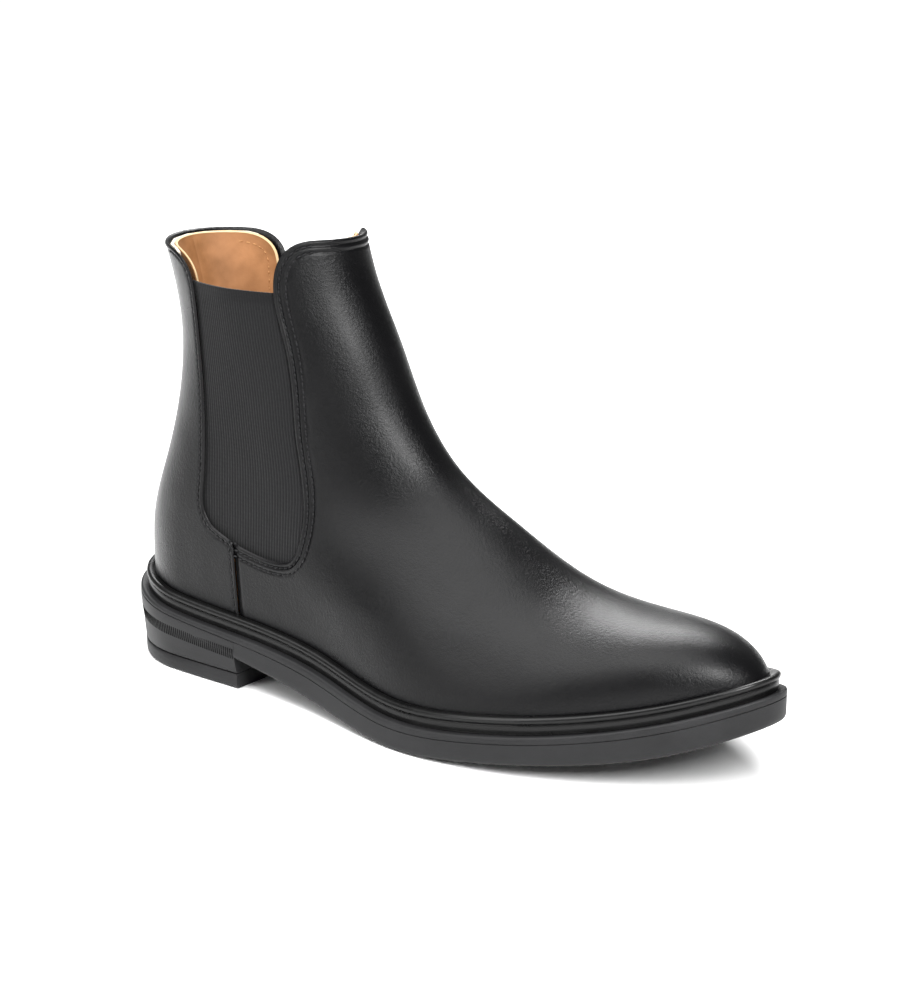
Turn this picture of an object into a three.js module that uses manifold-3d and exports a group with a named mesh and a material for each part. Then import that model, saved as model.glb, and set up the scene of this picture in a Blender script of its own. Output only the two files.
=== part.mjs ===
// A right-foot chelsea boot with elastic side gores, a stitched-on welt and a rubber sole and heel.
// Millimetres, +Z up, toe towards -Y, lateral (outer) side towards -X.
// Lengths along the foot are written as s, the distance forward from the back edge of the sole.
import * as THREE from "three";
import { mergeVertices } from "three/addons/utils/BufferGeometryUtils.js";
import Module from "manifold-3d";

const wasm = await Module();
wasm.setup();

// Overall sizes
const bootLength = 305; // back edge of the sole to its toe tip
const frontHeight = 185; // topline at the front of the shaft
const backHeight = 175.5; // topline at the back of the shaft
const shaftHalf = { lateral: 33.5, medial: 29 }; // half widths of the shaft at the ankle
const shaftFlare = { lateral: 2, medial: 0 }; // the shaft is this much wider at the top

// Half widths of the sole on the lateral and the medial side
const heelHalf = { lateral: 38.5, medial: 34.5 };
const waistHalf = { lateral: 44.7, medial: 31 };
const ballHalf = { lateral: 54.5, medial: 49 };
const toeHalf = { lateral: 34, medial: 32 };
const toeCap = 90; // length of the rounding that closes the toe
const heelCap = 39; // length of the rounding that closes the heel
const toeSwing = 2; // the toe lies this far towards the big toe

// Sole unit
const heelBreast = 75; // length of the heel
const topPieceThickness = 6.2; // the wearing layer under the heel
const heelTaper = 1.8; // how far the heel's foot lies inside the sole's edge
const soleBevel = 1.6; // rounding at the sole's lower edge
const ledge = 6; // the sole stands this far outside the upper
const weltReach = 3.2; // the welt stands this far outside the upper
const weltHeight = 7; // welt above the sole's rim
const nailCount = 5;
const nailRadius = 1.1;
const nailLength = 16;
const nailRing = 17; // radius of the half circle on which the heel nails stand

// Leather and lining thicknesses, from outside to inside
const leather = 1.4;
const stiffener = 1.1; // elastic, toe puff, heel counter and tapes
const lining = 1;
const gap = 0.3; // clearance between pieces that touch
const layerGap = 0.6; // the same between curved layers
const lastingMargin = 12; // width of leather turned in under the insole
const insoleThickness = 2.3;
const sockThickness = 3.2;
const heelPadThickness = 2;
const shankWidth = 14;
const shankLength = 100;
const shankThickness = 1.2;
const rivetRadius = 1.6;

// Gore window
const goreTop = 164; // the elastic's upper edge
const goreAllowance = 8; // elastic hidden under the leather
const backStripHeight = 106;
const backStripHalf = 7;
const tapeWidth = 8;
const notch = 88.5; // where the front panel's edge rises past the elastic

// Depths of the three layers below the outer surface
const midStart = leather + layerGap;
const midEnd = midStart + stiffener;
const liningStart = midEnd + layerGap;
const liningEnd = liningStart + lining;
const footStart = liningEnd + layerGap;

const halfSpan = 90; // half width of the cutting prisms, wider than the boot
const shaftRings = Math.ceil(frontHeight / 30); // rings from the shaft's top to the heel corner
const footRings = Math.round(bootLength / 21.8); // rings from the heel corner to the toe
const acrossSteps = 10; // points on each side of a ring
const outlineSteps = Math.round(bootLength / 13.9); // stations along a sole outline
const sides = ["lateral", "medial"];

const clamp01 = (x) => Math.min(1, Math.max(0, x));
const mix = (a, b, t) => a + (b - a) * t;

function smoothStep(x, a, b) {
  const t = clamp01((x - a) / (b - a));
  return t * t * (3 - 2 * t);
}

// A natural cubic spline through points [x, y], as a function of x.
function curve(points) {
  const n = points.length;
  const x = points.map((p) => p[0]);
  const y = points.map((p) => p[1]);
  const bend = new Array(n).fill(0);
  const carry = new Array(n).fill(0);
  for (let i = 1; i < n - 1; i++) {
    const share = (x[i] - x[i - 1]) / (x[i + 1] - x[i - 1]);
    const pivot = share * bend[i - 1] + 2;
    const slopes = (y[i + 1] - y[i]) / (x[i + 1] - x[i]) - (y[i] - y[i - 1]) / (x[i] - x[i - 1]);
    bend[i] = (share - 1) / pivot;
    carry[i] = ((6 * slopes) / (x[i + 1] - x[i - 1]) - share * carry[i - 1]) / pivot;
  }
  bend[n - 1] = 0;
  for (let i = n - 2; i >= 0; i--) bend[i] = bend[i] * bend[i + 1] + carry[i];
  return (at) => {
    let i = 0;
    while (i < n - 2 && at > x[i + 1]) i++;
    const step = x[i + 1] - x[i];
    const a = (x[i + 1] - at) / step;
    const b = (at - x[i]) / step;
    const curved = (a ** 3 - a) * bend[i] + (b ** 3 - b) * bend[i + 1];
    return a * y[i] + b * y[i + 1] + (curved * step * step) / 6;
  };
}

// Side profile of the sole unit: heights of its rim, over s
const rimTop = curve([
  [0, 31], [40, 25.5], [80, 22.6], [120, 18], [160, 11.8], [200, 13.8], [240, 19.6], [275, 28],
  [bootLength, 38.5],
]);
const rimFoot = curve([
  [0, 22.5], [40, 18.2], [80, 12.4], [120, 5.6], [165, 0.1], [200, 2.6], [240, 7.6], [275, 15],
  [bootLength, 26.5],
]);
const toeLine = curve([[0, 0], [150, 0], [bootLength, toeSwing]]);
const footHalf = {
  lateral: curve([
    [0, 33.5], [40, heelHalf.lateral], [80, 40.6], [120, waistHalf.lateral],
    [165, ballHalf.lateral], [205, 54.1], [245, 45.8], [bootLength, toeHalf.lateral],
  ]),
  medial: curve([
    [0, 34], [40, heelHalf.medial], [80, 31], [120, waistHalf.medial], [165, 40],
    [205, ballHalf.medial], [245, 47], [bootLength, toeHalf.medial],
  ]),
};

// Back line of the upper: s over z
const backLine = curve([
  [0, 8], [35, 6.6], [60, 7.5], [85, 16], [115, 23], [150, 23], [backHeight + 19.5, 8.5],
]);

// Front line from the topline down the instep to the toe, held as distances from a point above
// the toe, because it turns from upright to level.
const fan = { s: bootLength - 15, z: frontHeight + 30 };
const frontLine = [
  [108, frontHeight - 1], [114, 166], [125, 144], [136, 121], [154, 98], [184.6, 78.8], [219, 60.6],
  [261, 59.6], [bootLength - 6, 57.4], [bootLength + 24.5, 45.4],
];

function fanAngle(s, z) {
  const angle = Math.atan2(z - fan.z, s - fan.s);
  return angle > Math.PI / 2 ? angle - 2 * Math.PI : angle;
}

const ridge = curve(
  frontLine.map(([s, z]) => [fanAngle(s, z), Math.hypot(s - fan.s, z - fan.z)]),
);
// How deep the rounding behind the front line reaches, over the fan angle in degrees
const ridgeCap = curve([[-176, 50], [-150, 58], [-130, 68], [-112, 48], [-95, 29], [-80, 22]]);
// How square that rounding is: round on the shaft and instep, squarer over the toe
const ridgePower = (degrees) => mix(1.9, 3, smoothStep(degrees, -128, -100));

const solePlay = layerGap; // the upper's turned-in margin lies this far above the sole
const upperFloor = (s, depth) => rimTop(s) + solePlay + depth;

// How far the point (s, z) lies inside the side profile: 1 deep inside, 0 on its edge.
function fullness(s, z, depth) {
  const angle = fanAngle(s, z);
  const fromRidge = Math.hypot(s - fan.s, z - fan.z) - ridge(angle) - depth;
  const degrees = THREE.MathUtils.radToDeg(angle);
  const capLength = ridgeCap(degrees) - depth;
  const heelLength = mix(heelCap - ledge, 50, smoothStep(z, 70, 150)) - depth;
  const front = Math.max(0, 1 - fromRidge / capLength);
  const heel = Math.max(0, 1 - (s - backLine(z) - depth) / heelLength);
  const toeEnd = bootLength - ledge - depth;
  const toe = Math.max(0, 1 - (toeEnd - s) / (toeCap - ledge - depth));
  return 1 - front ** ridgePower(degrees) - heel ** 2.2 - toe ** 2.2;
}

// Half width of the upper at (s, z), measured depth below its outer surface.
function upperHalf(s, z, side, depth) {
  const foot = footHalf[side](s) - ledge;
  const shaft = shaftHalf[side] + shaftFlare[side] * clamp01((z - 120) / 80);
  const body = mix(foot, shaft, smoothStep(z, 45, 100)) - depth;
  const half = body * Math.sqrt(clamp01(fullness(s, z, depth)));
  return half < 0.1 ? 0 : half;
}

// Half width of the sole at s, measured inset from its edge.
function soleHalf(s, side, inset) {
  const toe = clamp01(1 - (bootLength - inset - s) / (toeCap - inset));
  const heel = clamp01(1 - (s - inset) / (heelCap - inset));
  const body = footHalf[side](s) - inset;
  return body * Math.sqrt(clamp01(1 - toe ** 2.2 - heel ** 2.2));
}

// A closed solid from loose triangles: shared corners are merged, collapsed faces dropped.
function solidFrom(positions, indices) {
  const loose = new THREE.BufferGeometry();
  loose.setAttribute("position", new THREE.BufferAttribute(new Float32Array(positions), 3));
  if (indices) loose.setIndex(indices);
  const merged = mergeVertices(loose, 1e-3);
  const corners = merged.index.array;
  const kept = [];
  for (let i = 0; i < corners.length; i += 3) {
    const [a, b, c] = [corners[i], corners[i + 1], corners[i + 2]];
    if (a !== b && b !== c && c !== a) kept.push(a, b, c);
  }
  return new wasm.Manifold(
    new wasm.Mesh({
      numProp: 3,
      vertProperties: merged.attributes.position.array,
      triVerts: new Uint32Array(kept),
    }),
  );
}

function solidOf(geometry) {
  geometry.deleteAttribute("normal");
  geometry.deleteAttribute("uv");
  return solidFrom(geometry.attributes.position.array, geometry.index && [...geometry.index.array]);
}

// Joins rings of points into a solid. Each ring runs down one side and back up the other, so its
// ends are closed by a strip of quads across it.
function loft(rings) {
  const size = rings[0].length;
  const indices = [];
  const quad = (a, b, c, d) => indices.push(a, b, c, a, c, d);
  for (let r = 0; r < rings.length - 1; r++) {
    for (let j = 0; j < size; j++) {
      const next = (j + 1) % size;
      quad(r * size + j, r * size + next, (r + 1) * size + next, (r + 1) * size + j);
    }
  }
  const top = (rings.length - 1) * size;
  for (let j = 0; j < size / 2 - 1; j++) {
    const far = size - 1 - j;
    quad(j, far, far - 1, j + 1);
    quad(top + j, top + j + 1, top + far - 1, top + far);
  }
  return solidFrom(rings.flat(2), indices);
}

// One ring of the sole's outline: inset from the edge, from station `from` to station `to`.
function outlineRing(inset, height, from, to) {
  const start = Math.max(from, inset);
  const end = Math.min(to, bootLength - inset);
  const point = (k, side, sign) => {
    const s = mix(start, end, (1 - Math.cos((Math.PI * k) / outlineSteps)) / 2);
    return [toeLine(s) + sign * soleHalf(s, side, inset), -s, height(s)];
  };
  const ring = [];
  for (let k = 0; k <= outlineSteps; k++) ring.push(point(k, "lateral", -1));
  for (let k = outlineSteps; k >= 0; k--) ring.push(point(k, "medial", 1));
  return ring;
}

// A slab of the sole's outline; each level is [inset, height as a function of s].
function slab(levels, from = 0, to = bootLength) {
  return loft(levels.map(([inset, height]) => outlineRing(inset, height, from, to)));
}

// The space inside the upper at the given depth, from above the topline to the toe. Its rings
// lie on rays of the fan, from the front line to the back line or the floor.
function lastAt(depth, rise = 6) {
  const top = Math.min(fanAngle(0, backHeight + rise), fanAngle(notch, frontHeight + rise));
  const seat = heelCornerAngle(depth);
  const toe = lastAngle(depth);
  const rings = [];
  for (let i = 0; i < shaftRings; i++) rings.push(lastRing(mix(top, seat, i / shaftRings), depth));
  for (let i = 0; i <= footRings; i++) {
    const share = (1 - Math.cos((Math.PI * i) / footRings)) / 2;
    rings.push(lastRing(mix(seat, toe, share), depth));
  }
  return loft(rings);
}

// The ray through the corner where the back line meets the floor.
function heelCornerAngle(depth) {
  let s = backLine(0) + depth;
  for (let i = 0; i < 20; i++) s = backLine(upperFloor(s, depth)) + depth;
  return fanAngle(s, upperFloor(s, depth));
}

const onRay = (angle, reach) => [
  fan.s + reach * Math.cos(angle),
  fan.z + reach * Math.sin(angle),
];

function isInside(angle, reach, depth) {
  const [s, z] = onRay(angle, reach);
  return fullness(s, z, depth) > 0 && z > upperFloor(s, depth);
}

// The first reach on a ray that lies inside the upper, or null when the ray misses it.
const searchReach = 60;
function firstReach(angle, depth) {
  const from = ridge(angle) + depth;
  for (let reach = from; reach < from + searchReach; reach += 0.25) {
    if (isInside(angle, reach, depth)) return reach;
  }
  return null;
}

// Narrows down where something true at `yes` stops being true on the way to `no`.
function boundary(yes, no, isTrue) {
  let [a, b] = [yes, no];
  for (let i = 0; i < 24; i++) {
    const middle = (a + b) / 2;
    if (isTrue(middle)) a = middle;
    else b = middle;
  }
  return a;
}

// The ray that just touches the toe.
function lastAngle(depth) {
  const hasRoom = (angle) => firstReach(angle, depth) !== null;
  return boundary(fanAngle(fan.s - 60, 0), fanAngle(bootLength, 0), hasRoom) - 0.002;
}

function lastRing(angle, depth) {
  const inside = (reach) => isInside(angle, reach, depth);
  const near = firstReach(angle, depth);
  let far = near;
  while (inside(far + 1)) far += 1;
  const start = boundary(near, near - 0.25, inside);
  const end = boundary(far, far + 1, inside);
  const point = (j, side, sign) => {
    const [s, z] = onRay(angle, mix(start, end, (1 - Math.cos((Math.PI * j) / acrossSteps)) / 2));
    return [toeLine(s) + sign * upperHalf(s, z, side, depth), -s, z];
  };
  const ring = [];
  for (let j = 0; j <= acrossSteps; j++) ring.push(point(j, "lateral", -1));
  for (let j = acrossSteps; j >= 0; j--) ring.push(point(j, "medial", 1));
  return ring;
}

// A prism across the boot whose outline is given in the side view as [s, z].
const acrossBoot = new THREE.Matrix4().makeBasis(
  new THREE.Vector3(0, 1, 0),
  new THREE.Vector3(0, 0, 1),
  new THREE.Vector3(1, 0, 0),
);

function sidePrism(outline) {
  const shape = new THREE.Shape(outline.map(([s, z]) => new THREE.Vector2(-s, z)));
  const options = { depth: 2 * halfSpan, bevelEnabled: false };
  const geometry = new THREE.ExtrudeGeometry(shape, options);
  geometry.translate(0, 0, -halfSpan);
  geometry.applyMatrix4(acrossBoot);
  return solidOf(geometry);
}

function block(xMin, xMax, sMin, sMax, zMin, zMax) {
  const geometry = new THREE.BoxGeometry(xMax - xMin, sMax - sMin, zMax - zMin);
  geometry.translate((xMin + xMax) / 2, -(sMin + sMax) / 2, (zMin + zMax) / 2);
  return solidOf(geometry);
}

// A smooth line through side-view points, as a list of [s, z].
function smooth(points, steps = 12) {
  const spline = new THREE.SplineCurve(points.map(([s, z]) => new THREE.Vector2(s, z)));
  return spline.getPoints(steps).map((p) => [p.x, p.y]);
}

// Edges of the gore window in the side view, moved outwards by `grow`
const rearEdge = (grow) =>
  smooth([
    [53.5 - grow, 68 - grow], [54 - grow, 82], [55.5 - grow, 100], [54.5 - grow, 116],
    [51 - grow, 144], [49.5 - grow, goreTop],
  ]);
const frontEdge = (grow) =>
  smooth([
    [89 + grow, goreTop], [95 + grow, 143], [98.5 + grow, 127], [101 + grow, 108],
    [105.5 + grow, 88], [106 + grow, 68 - grow],
  ]);
const lowerEdge = (grow) =>
  smooth([
    [103 + grow * 0.7, 60 - grow], [96, 57 - grow], [86, 57 - grow], [70, 60 - grow],
    [56 - grow * 0.5, 64.5 - grow],
  ], 10);

const beyond = 30; // how far the cutting outlines run past the boot
const seamTop = [70, 60];
const seamFoot = [75.5, 0];

// Front panel: shaft front, instep and toe, with a rounded upper corner behind
const frontCorner = (inset) =>
  smooth([
    [105, frontHeight - 0.5 - inset], [97, frontHeight - 2.5 - inset],
    [90.5 + inset, frontHeight - 7], [notch + inset, frontHeight - 13],
  ], 6);

function vampOutline(inset = 0) {
  return [
    [bootLength + beyond, -beyond],
    [bootLength + beyond, frontHeight + 1 - inset],
    [112, frontHeight + 0.3 - inset],
    ...frontCorner(inset),
    ...frontEdge(inset),
    ...lowerEdge(inset).slice(0, -3),
    [seamTop[0] + gap, seamTop[1] - inset - 0.5],
    [seamFoot[0] + gap, seamFoot[1] - beyond],
  ];
}

// Rear panel, one on each side, from the side seam to the back seam
const backCorner = (inset) =>
  smooth([
    [49.6 - inset, goreTop + 1], [47.4 - inset, goreTop + 6.3], [41, backHeight - 1.8 - inset],
    [33, backHeight - inset],
  ], 6);

function quarterOutline(inset = 0) {
  return [
    [seamFoot[0], seamFoot[1] - beyond],
    [seamTop[0], seamTop[1] - inset - 0.3],
    ...lowerEdge(inset).slice(-3),
    ...rearEdge(inset),
    ...backCorner(inset),
    [-beyond, backHeight + 1 - inset],
    [-beyond, -beyond],
  ];
}

const goreOutline = () => [
  ...rearEdge(goreAllowance),
  ...frontEdge(goreAllowance),
  ...lowerEdge(goreAllowance),
];

// Keeps the lateral or the medial half of a solid, clear of the middle plane.
function halfOf(solid, side) {
  const clear = gap / 2;
  const box =
    side === "lateral"
      ? block(-halfSpan, -clear, -beyond, bootLength + beyond, -beyond, frontHeight + beyond)
      : block(clear, halfSpan, -beyond, bootLength + beyond, -beyond, frontHeight + beyond);
  return solid.intersect(box);
}

const outerLast = lastAt(0);
const outerShell = outerLast.subtract(lastAt(leather, 12));
const midShell = lastAt(midStart).subtract(lastAt(midEnd, 12));
const liningShell = lastAt(liningStart).subtract(lastAt(liningEnd, 12));
const footSpace = lastAt(footStart);

// The open well inside the turned-in margins
const wellInset = ledge + lastingMargin;
const wellTop = (s) => upperFloor(s, liningEnd) + 0.2;
const well = slab([
  [wellInset, (s) => rimTop(s) - beyond],
  [wellInset, wellTop],
]);
const outerLeather = outerShell.subtract(well);
const liningLeather = liningShell.subtract(well);

// Nails and rivets stand upright; each hole is wider than its pin by the gap.
function pin(x, s, zMin, zMax, radius) {
  const geometry = new THREE.CylinderGeometry(radius, radius, zMax - zMin, 10);
  geometry.rotateX(Math.PI / 2);
  geometry.translate(x, -s, (zMin + zMax) / 2);
  return solidOf(geometry);
}

const nails = [];
for (let i = 0; i < nailCount; i++) {
  const turn = Math.PI * (i / (nailCount - 1));
  const s = heelCap - 2 - nailRing * Math.sin(turn);
  const x = -nailRing * Math.cos(turn);
  const top = rimTop(s);
  nails.push({ x, s, zMin: top - nailLength, zMax: top });
}
const shankStart = 34;
const shankTop = (s) => upperFloor(s, footStart) - layerGap;
const rivets = [shankStart + 8, shankStart + shankLength - 8].map((s) => ({
  x: 0,
  s,
  zMin: shankTop(s) - shankThickness - 0.6,
  zMax: shankTop(s) + layerGap + insoleThickness - 0.4,
}));

function drill(solid, pins, radius) {
  return pins.reduce(
    (rest, { x, s, zMin, zMax }) =>
      rest.subtract(pin(x, s, zMin - gap, zMax + gap, radius + gap)),
    solid,
  );
}

function makeOutsole() {
  const body = slab([
    [soleBevel, rimFoot],
    [0.3, (s) => rimFoot(s) + soleBevel],
    [0, (s) => mix(rimFoot(s), rimTop(s), 0.6)],
    [0, (s) => rimTop(s) - 1],
    [0.8, rimTop],
  ]);
  return drill(body, nails, nailRadius);
}

function makeHeelBlock() {
  const body = slab([
    [heelTaper, () => topPieceThickness + gap],
    [0.8, (s) => rimFoot(s) - gap],
  ], 0, heelBreast);
  return drill(body, nails, nailRadius);
}

const makeTopPiece = () =>
  slab([[heelTaper + 0.8, () => 0], [heelTaper, () => 1], [heelTaper, () => topPieceThickness]],
    0, heelBreast);

function makeWelt() {
  const outer = ledge - weltReach;
  const body = slab([
    [outer + 0.6, (s) => rimTop(s) + gap],
    [outer, (s) => rimTop(s) + weltHeight * 0.4],
    [outer + 0.5, (s) => rimTop(s) + weltHeight * 0.8],
    [outer + 1.8, (s) => rimTop(s) + weltHeight],
  ]);
  const opening = slab([
    [ledge + 1, (s) => rimTop(s) - 1],
    [ledge + 1, (s) => rimTop(s) + 2],
  ]);
  return body.subtract(lastAt(-gap, 12)).subtract(opening);
}

// Pieces on the foot's floor are cut from the space inside the lining.
function floorLayer(zFrom, zTo) {
  return footSpace.intersect(slab([[0, zFrom], [0, zTo]]));
}

const insoleTop = (s) => upperFloor(s, footStart) + insoleThickness;
const makeInsole = () =>
  drill(floorLayer((s) => rimTop(s), insoleTop), rivets, rivetRadius);

const padInset = ledge + footStart + 6;
const padTop = (s) => insoleTop(s) + gap + heelPadThickness;
const makeHeelPad = (grow = 0) =>
  slab([
    [padInset - grow, (s) => insoleTop(s) + gap - grow],
    [padInset - grow, (s) => padTop(s) + grow],
  ], 0, heelBreast + grow);

const makeSockLiner = () =>
  floorLayer((s) => insoleTop(s) + gap, (s) => insoleTop(s) + gap + sockThickness)
    .subtract(makeHeelPad(gap));

// The steel shank bridges the waist and follows the insole's underside.
function makeShank() {
  const steps = 12;
  const rings = [];
  for (const height of [-shankThickness, 0]) {
    const row = (sign) =>
      Array.from({ length: steps + 1 }, (_, k) => {
        const s = shankStart + (shankLength * k) / steps;
        return [(sign * shankWidth) / 2, -s, shankTop(s) + height];
      });
    rings.push([...row(-1), ...row(1).reverse()]);
  }
  return drill(loft(rings), rivets, rivetRadius);
}

const fillerInset = wellInset + 1;
const makeFiller = () =>
  slab([
    [fillerInset, (s) => rimTop(s) + layerGap],
    [fillerInset, (s) => upperFloor(s, footStart) - layerGap],
  ], shankStart + shankLength + 2, bootLength);

// The counter hugs the heel and is lower at its ends than at the back.
const makeCounter = () =>
  midShell.subtract(well).intersect(sidePrism([
    [-beyond, 61], [14, 61], ...smooth([[30, 56], [48, 46], [64, 38], [72, 20]], 8),
    [72, -beyond], [-beyond, -beyond],
  ]));

const toePuffStart = bootLength - 68;
const makeToePuff = () =>
  midShell.subtract(well).intersect(sidePrism([
    [toePuffStart, -beyond], [toePuffStart, frontHeight], [bootLength + beyond, frontHeight],
    [bootLength + beyond, -beyond],
  ]));

// The tapes stiffen the topline between leather and lining.
const makeFrontTape = () =>
  midShell.intersect(sidePrism([
    [notch + goreAllowance + 3, frontHeight - tapeWidth - 4], [160, frontHeight - tapeWidth],
    [160, frontHeight - 1], [108, frontHeight - 1], [notch + goreAllowance + 3, frontHeight - 4],
  ]));
const makeBackTape = () =>
  midShell.intersect(sidePrism([
    [-beyond, backHeight - 1], [34, backHeight - 1], [38, backHeight - 2],
    [38, backHeight - tapeWidth - 1], [-beyond, backHeight - tapeWidth - 1],
  ]));

function makeBackStrip() {
  const skin = lastAt(-gap - leather).subtract(lastAt(-gap, 12));
  const edge = (t) => backStripHalf + 6 * t;
  const shape = new THREE.Shape([
    new THREE.Vector2(-edge(0), backStripHeight - 3),
    new THREE.Vector2(-edge(0) + 3, backStripHeight),
    new THREE.Vector2(edge(0) - 3, backStripHeight),
    new THREE.Vector2(edge(0), backStripHeight - 3),
    new THREE.Vector2(edge(1), rimTop(8) + weltHeight + 1),
    new THREE.Vector2(-edge(1), rimTop(8) + weltHeight + 1),
  ]);
  const geometry = new THREE.ExtrudeGeometry(shape, { depth: 60, bevelEnabled: false });
  geometry.rotateX(Math.PI / 2);
  geometry.translate(0, 10, 0);
  return skin.intersect(solidOf(geometry));
}

// Looks
const finishes = {
  leather: { color: "#17171a", roughness: 0.38, metalness: 0 },
  elastic: { color: "#2c2c2e", roughness: 0.9, metalness: 0 },
  lining: { color: "#b98a5c", roughness: 0.75, metalness: 0 },
  board: { color: "#8c7a5e", roughness: 0.9, metalness: 0 },
  felt: { color: "#c9bfae", roughness: 0.95, metalness: 0 },
  cork: { color: "#9a7448", roughness: 0.95, metalness: 0 },
  rubber: { color: "#2e2e30", roughness: 0.7, metalness: 0 },
  welt: { color: "#101012", roughness: 0.3, metalness: 0 },
  steel: { color: "#a9abae", roughness: 0.4, metalness: 1 },
};

const boot = new THREE.Group();
boot.position.y = bootLength / 2;

function add(name, solid, finish) {
  const mesh = solid.getMesh();
  const geometry = new THREE.BufferGeometry();
  geometry.setAttribute("position", new THREE.BufferAttribute(mesh.vertProperties, 3));
  geometry.setIndex(new THREE.BufferAttribute(mesh.triVerts, 1));
  geometry.computeVertexNormals();
  const part = new THREE.Mesh(geometry, new THREE.MeshStandardMaterial(finishes[finish]));
  part.name = name;
  boot.add(part);
}

add("vamp", outerLeather.intersect(sidePrism(vampOutline())), "leather");
add("vamp_lining", liningLeather.intersect(sidePrism(vampOutline(0.8))), "lining");
for (const side of sides) {
  const quarter = outerLeather.intersect(sidePrism(quarterOutline()));
  const quarterLining = liningLeather.intersect(sidePrism(quarterOutline(0.8)));
  const gore = midShell.intersect(sidePrism(goreOutline()));
  add("quarter_" + side, halfOf(quarter, side), "leather");
  add("quarter_lining_" + side, halfOf(quarterLining, side), "lining");
  add("gore_" + side, halfOf(gore, side), "elastic");
}
add("back_strip", makeBackStrip(), "leather");
add("toe_puff", makeToePuff(), "felt");
add("heel_counter", makeCounter(), "board");
add("front_topline_tape", makeFrontTape(), "felt");
add("back_topline_tape", makeBackTape(), "felt");
add("welt", makeWelt(), "welt");
add("outsole", makeOutsole(), "rubber");
add("heel_block", makeHeelBlock(), "rubber");
add("heel_top_piece", makeTopPiece(), "rubber");
add("insole_board", makeInsole(), "board");
add("shank", makeShank(), "steel");
add("bottom_filler", makeFiller(), "cork");
add("heel_pad", makeHeelPad(), "felt");
add("sock_liner", makeSockLiner(), "lining");
nails.forEach(({ x, s, zMin, zMax }, i) => {
  add("heel_nail_" + (i + 1), pin(x, s, zMin, zMax, nailRadius), "steel");
});
rivets.forEach(({ x, s, zMin, zMax }, i) => {
  add("shank_rivet_" + (i + 1), pin(x, s, zMin, zMax, rivetRadius), "steel");
});

// The origin is under the middle of the boot's box, so the sole's swing to one side is taken out.
const box = new THREE.Box3().setFromObject(boot);
boot.position.x = -(box.min.x + box.max.x) / 2;

export default boot;
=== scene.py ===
import math

import bmesh
import bpy
import numpy as np
from mathutils import Matrix, Vector


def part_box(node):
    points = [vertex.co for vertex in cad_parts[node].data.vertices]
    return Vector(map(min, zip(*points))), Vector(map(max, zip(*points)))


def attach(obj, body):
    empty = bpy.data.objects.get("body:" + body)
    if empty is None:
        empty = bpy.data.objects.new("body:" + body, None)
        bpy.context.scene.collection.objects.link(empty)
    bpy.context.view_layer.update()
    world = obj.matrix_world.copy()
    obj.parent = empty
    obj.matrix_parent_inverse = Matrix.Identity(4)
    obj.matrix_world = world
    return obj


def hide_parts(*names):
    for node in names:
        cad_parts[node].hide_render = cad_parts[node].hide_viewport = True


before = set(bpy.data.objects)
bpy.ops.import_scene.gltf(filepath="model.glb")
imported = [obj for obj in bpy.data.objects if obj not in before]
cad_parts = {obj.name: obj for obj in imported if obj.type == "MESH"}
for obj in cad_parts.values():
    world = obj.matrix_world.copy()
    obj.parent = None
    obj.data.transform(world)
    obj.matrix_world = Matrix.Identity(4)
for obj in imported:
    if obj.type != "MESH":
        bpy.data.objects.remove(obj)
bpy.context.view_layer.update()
print("stage: frame loaded")

# Shapes are worked out in millimetres in the side view: s runs forward from the back edge of the
# sole, z is height, and side is -1 for the lateral half and +1 for the medial half.
soleLow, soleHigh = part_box("outsole")
boot = {
    "length": (soleHigh.y - soleLow.y) * 1000,
    "frontTop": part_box("vamp")[1].z * 1000 - 0.1,
    "backTop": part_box("quarter_lateral")[1].z * 1000 - 0.1,
    "goreTop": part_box("gore_lateral")[1].z * 1000,
    "shaftHalf": {-1: 33.5, 1: 29},
    "shaftFlare": {-1: 2, 1: 0},
    "toeCap": 90,
    "heelCap": 39,
    "ledge": 6,  # the sole's edge stands this far outside the upper
    "layerGap": 0.6,
    "leather": 1.4,
    "elasticDepth": 2.0,
    "elastic": 1.1,
    "liningDepth": 3.7,
    "lining": 1.0,
}
sides = {"lateral": -1, "medial": 1}


def clamp01(x):
    return np.clip(x, 0, 1)


def mix(a, b, t):
    return a + (b - a) * t


def smoothStep(x, a, b):
    t = clamp01((x - a) / (b - a))
    return t * t * (3 - 2 * t)


def curveThrough(points):  # natural cubic spline, y over x
    x, y = np.array(points, float).T
    n, h = len(x), np.diff(x)
    a, b = np.eye(n), np.zeros(n)
    for i in range(1, n - 1):
        a[i, i - 1:i + 2] = h[i - 1], 2 * (h[i - 1] + h[i]), h[i]
        b[i] = 6 * ((y[i + 1] - y[i]) / h[i] - (y[i] - y[i - 1]) / h[i - 1])
    bend = np.linalg.solve(a, b)

    def at(t):
        t = np.asarray(t, float)
        i = np.clip(np.searchsorted(x, t) - 1, 0, n - 2)
        p, q = (x[i + 1] - t) / h[i], (t - x[i]) / h[i]
        curved = (p**3 - p) * bend[i] + (q**3 - q) * bend[i + 1]
        return p * y[i] + q * y[i + 1] + curved * h[i] ** 2 / 6

    return at


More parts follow.
